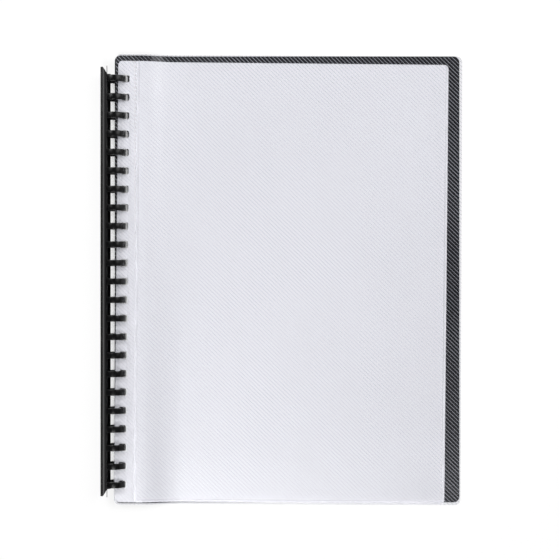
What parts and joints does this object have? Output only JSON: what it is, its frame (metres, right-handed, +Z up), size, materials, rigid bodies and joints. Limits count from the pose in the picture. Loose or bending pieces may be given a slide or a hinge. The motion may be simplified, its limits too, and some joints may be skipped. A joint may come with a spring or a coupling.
{
  "type": "clear pocket display book",
  "caption": "Refillable A4 display book: clear front cover, black back cover and open-top film pockets on a black multi-ring spine with a hinged locking bar.",
  "frame": {"origin": "under the middle of the back cover, on the surface that the closed book lies on", "axes": "+X from the binding to the fore edge, +Y up the page, +Z up through the closed book"},
  "size_m": [0.2499, 0.311, 0.016],
  "materials": {
    "black_cover": "fine embossed polypropylene sheet",
    "clear_cover": "clear polypropylene sheet with a fine diagonal emboss",
    "pocket_film": "thin clear polypropylene film",
    "black_moulding": "injection-moulded plastic, satin"
  },
  "bodies": {
    "back_cover": {"back_cover": "black_cover"},
    "front_cover": {"front_cover": "clear_cover"},
    "ring_comb": {"ring_comb": "black_moulding"},
    "locking_bar": {"locking_bar": "black_moulding"},
    "pocket_01": {"pocket_01_back_film": "pocket_film", "pocket_01_front_film": "pocket_film"},
    "pocket_02": {"pocket_02_back_film": "pocket_film", "pocket_02_front_film": "pocket_film"},
    "pocket_03": {"pocket_03_back_film": "pocket_film", "pocket_03_front_film": "pocket_film"},
    "pocket_04": {"pocket_04_back_film": "pocket_film", "pocket_04_front_film": "pocket_film"},
    "pocket_05": {"pocket_05_back_film": "pocket_film", "pocket_05_front_film": "pocket_film"},
    "pocket_06": {"pocket_06_back_film": "pocket_film", "pocket_06_front_film": "pocket_film"},
    "pocket_07": {"pocket_07_back_film": "pocket_film", "pocket_07_front_film": "pocket_film"},
    "pocket_08": {"pocket_08_back_film": "pocket_film", "pocket_08_front_film": "pocket_film"},
    "pocket_09": {"pocket_09_back_film": "pocket_film", "pocket_09_front_film": "pocket_film"},
    "pocket_10": {"pocket_10_back_film": "pocket_film", "pocket_10_front_film": "pocket_film"},
    "pocket_11": {"pocket_11_back_film": "pocket_film", "pocket_11_front_film": "pocket_film"},
    "pocket_12": {"pocket_12_back_film": "pocket_film", "pocket_12_front_film": "pocket_film"},
    "pocket_13": {"pocket_13_back_film": "pocket_film", "pocket_13_front_film": "pocket_film"},
    "pocket_14": {"pocket_14_back_film": "pocket_film", "pocket_14_front_film": "pocket_film"},
    "pocket_15": {"pocket_15_back_film": "pocket_film", "pocket_15_front_film": "pocket_film"},
    "pocket_16": {"pocket_16_back_film": "pocket_film", "pocket_16_front_film": "pocket_film"},
    "pocket_17": {"pocket_17_back_film": "pocket_film", "pocket_17_front_film": "pocket_film"},
    "pocket_18": {"pocket_18_back_film": "pocket_film", "pocket_18_front_film": "pocket_film"},
    "pocket_19": {"pocket_19_back_film": "pocket_film", "pocket_19_front_film": "pocket_film"},
    "pocket_20": {"pocket_20_back_film": "pocket_film", "pocket_20_front_film": "pocket_film"}
  },
  "joints": [
    {"name": "front_cover_turn", "type": "hinge", "parent": "back_cover", "child": "front_cover", "pos_m": [-0.1197, 0, 0.008], "axis": [0, -1, 0], "range_deg": [0, 180]},
    {"name": "spine_roll", "type": "hinge", "parent": "back_cover", "child": "ring_comb", "pos_m": [-0.1197, 0, 0.008], "axis": [0, -1, 0], "range_deg": [0, 86]},
    {"name": "locking_bar_open", "type": "hinge", "parent": "ring_comb", "child": "locking_bar", "pos_m": [-0.1272, 0, 0.008], "axis": [0, -1, 0], "range_deg": [0, 55]},
    {"name": "pocket_01_turn", "type": "hinge", "parent": "back_cover", "child": "pocket_01", "pos_m": [-0.1197, 0, 0.008], "axis": [0, -1, 0], "range_deg": [0, 180]},
    {"name": "pocket_02_turn", "type": "hinge", "parent": "back_cover", "child": "pocket_02", "pos_m": [-0.1197, 0, 0.008], "axis": [0, -1, 0], "range_deg": [0, 180]},
    {"name": "pocket_03_turn", "type": "hinge", "parent": "back_cover", "child": "pocket_03", "pos_m": [-0.1197, 0, 0.008], "axis": [0, -1, 0], "range_deg": [0, 180]},
    {"name": "pocket_04_turn", "type": "hinge", "parent": "back_cover", "child": "pocket_04", "pos_m": [-0.1197, 0, 0.008], "axis": [0, -1, 0], "range_deg": [0, 180]},
    {"name": "pocket_05_turn", "type": "hinge", "parent": "back_cover", "child": "pocket_05", "pos_m": [-0.1197, 0, 0.008], "axis": [0, -1, 0], "range_deg": [0, 180]},
    {"name": "pocket_06_turn", "type": "hinge", "parent": "back_cover", "child": "pocket_06", "pos_m": [-0.1197, 0, 0.008], "axis": [0, -1, 0], "range_deg": [0, 180]},
    {"name": "pocket_07_turn", "type": "hinge", "parent": "back_cover", "child": "pocket_07", "pos_m": [-0.1197, 0, 0.008], "axis": [0, -1, 0], "range_deg": [0, 180]},
    {"name": "pocket_08_turn", "type": "hinge", "parent": "back_cover", "child": "pocket_08", "pos_m": [-0.1197, 0, 0.008], "axis": [0, -1, 0], "range_deg": [0, 180]},
    {"name": "pocket_09_turn", "type": "hinge", "parent": "back_cover", "child": "pocket_09", "pos_m": [-0.1197, 0, 0.008], "axis": [0, -1, 0], "range_deg": [0, 180]},
    {"name": "pocket_10_turn", "type": "hinge", "parent": "back_cover", "child": "pocket_10", "pos_m": [-0.1197, 0, 0.008], "axis": [0, -1, 0], "range_deg": [0, 180]},
    {"name": "pocket_11_turn", "type": "hinge", "parent": "back_cover", "child": "pocket_11", "pos_m": [-0.1197, 0, 0.008], "axis": [0, -1, 0], "range_deg": [0, 180]},
    {"name": "pocket_12_turn", "type": "hinge", "parent": "back_cover", "child": "pocket_12", "pos_m": [-0.1197, 0, 0.008], "axis": [0, -1, 0], "range_deg": [0, 180]},
    {"name": "pocket_13_turn", "type": "hinge", "parent": "back_cover", "child": "pocket_13", "pos_m": [-0.1197, 0, 0.008], "axis": [0, -1, 0], "range_deg": [0, 180]},
    {"name": "pocket_14_turn", "type": "hinge", "parent": "back_cover", "child": "pocket_14", "pos_m": [-0.1197, 0, 0.008], "axis": [0, -1, 0], "range_deg": [0, 180]},
    {"name": "pocket_15_turn", "type": "hinge", "parent": "back_cover", "child": "pocket_15", "pos_m": [-0.1197, 0, 0.008], "axis": [0, -1, 0], "range_deg": [0, 180]},
    {"name": "pocket_16_turn", "type": "hinge", "parent": "back_cover", "child": "pocket_16", "pos_m": [-0.1197, 0, 0.008], "axis": [0, -1, 0], "range_deg": [0, 180]},
    {"name": "pocket_17_turn", "type": "hinge", "parent": "back_cover", "child": "pocket_17", "pos_m": [-0.1197, 0, 0.008], "axis": [0, -1, 0], "range_deg": [0, 180]},
    {"name": "pocket_18_turn", "type": "hinge", "parent": "back_cover", "child": "pocket_18", "pos_m": [-0.1197, 0, 0.008], "axis": [0, -1, 0], "range_deg": [0, 180]},
    {"name": "pocket_19_turn", "type": "hinge", "parent": "back_cover", "child": "pocket_19", "pos_m": [-0.1197, 0, 0.008], "axis": [0, -1, 0], "range_deg": [0, 180]},
    {"name": "pocket_20_turn", "type": "hinge", "parent": "back_cover", "child": "pocket_20", "pos_m": [-0.1197, 0, 0.008], "axis": [0, -1, 0], "range_deg": [0, 180]}
  ],
  "couplings": [
    {"joint": "spine_roll", "follows": "front_cover_turn", "ratio": 0.47778},
    {"joint": "pocket_01_turn", "follows": "front_cover_turn", "ratio": 0.95238},
    {"joint": "pocket_02_turn", "follows": "front_cover_turn", "ratio": 0.90476},
    {"joint": "pocket_03_turn", "follows": "front_cover_turn", "ratio": 0.85714},
    {"joint": "pocket_04_turn", "follows": "front_cover_turn", "ratio": 0.80952},
    {"joint": "pocket_05_turn", "follows": "front_cover_turn", "ratio": 0.76191},
    {"joint": "pocket_06_turn", "follows": "front_cover_turn", "ratio": 0.71429},
    {"joint": "pocket_07_turn", "follows": "front_cover_turn", "ratio": 0.66667},
    {"joint": "pocket_08_turn", "follows": "front_cover_turn", "ratio": 0.61905},
    {"joint": "pocket_09_turn", "follows": "front_cover_turn", "ratio": 0.57143},
    {"joint": "pocket_10_turn", "follows": "front_cover_turn", "ratio": 0.52381},
    {"joint": "pocket_11_turn", "follows": "front_cover_turn", "ratio": 0.47619},
    {"joint": "pocket_12_turn", "follows": "front_cover_turn", "ratio": 0.42857},
    {"joint": "pocket_13_turn", "follows": "front_cover_turn", "ratio": 0.38095},
    {"joint": "pocket_14_turn", "follows": "front_cover_turn", "ratio": 0.33333},
    {"joint": "pocket_15_turn", "follows": "front_cover_turn", "ratio": 0.28571},
    {"joint": "pocket_16_turn", "follows": "front_cover_turn", "ratio": 0.2381},
    {"joint": "pocket_17_turn", "follows": "front_cover_turn", "ratio": 0.19048},
    {"joint": "pocket_18_turn", "follows": "front_cover_turn", "ratio": 0.14286},
    {"joint": "pocket_19_turn", "follows": "front_cover_turn", "ratio": 0.095238},
    {"joint": "pocket_20_turn", "follows": "front_cover_turn", "ratio": 0.047619}
  ]
}
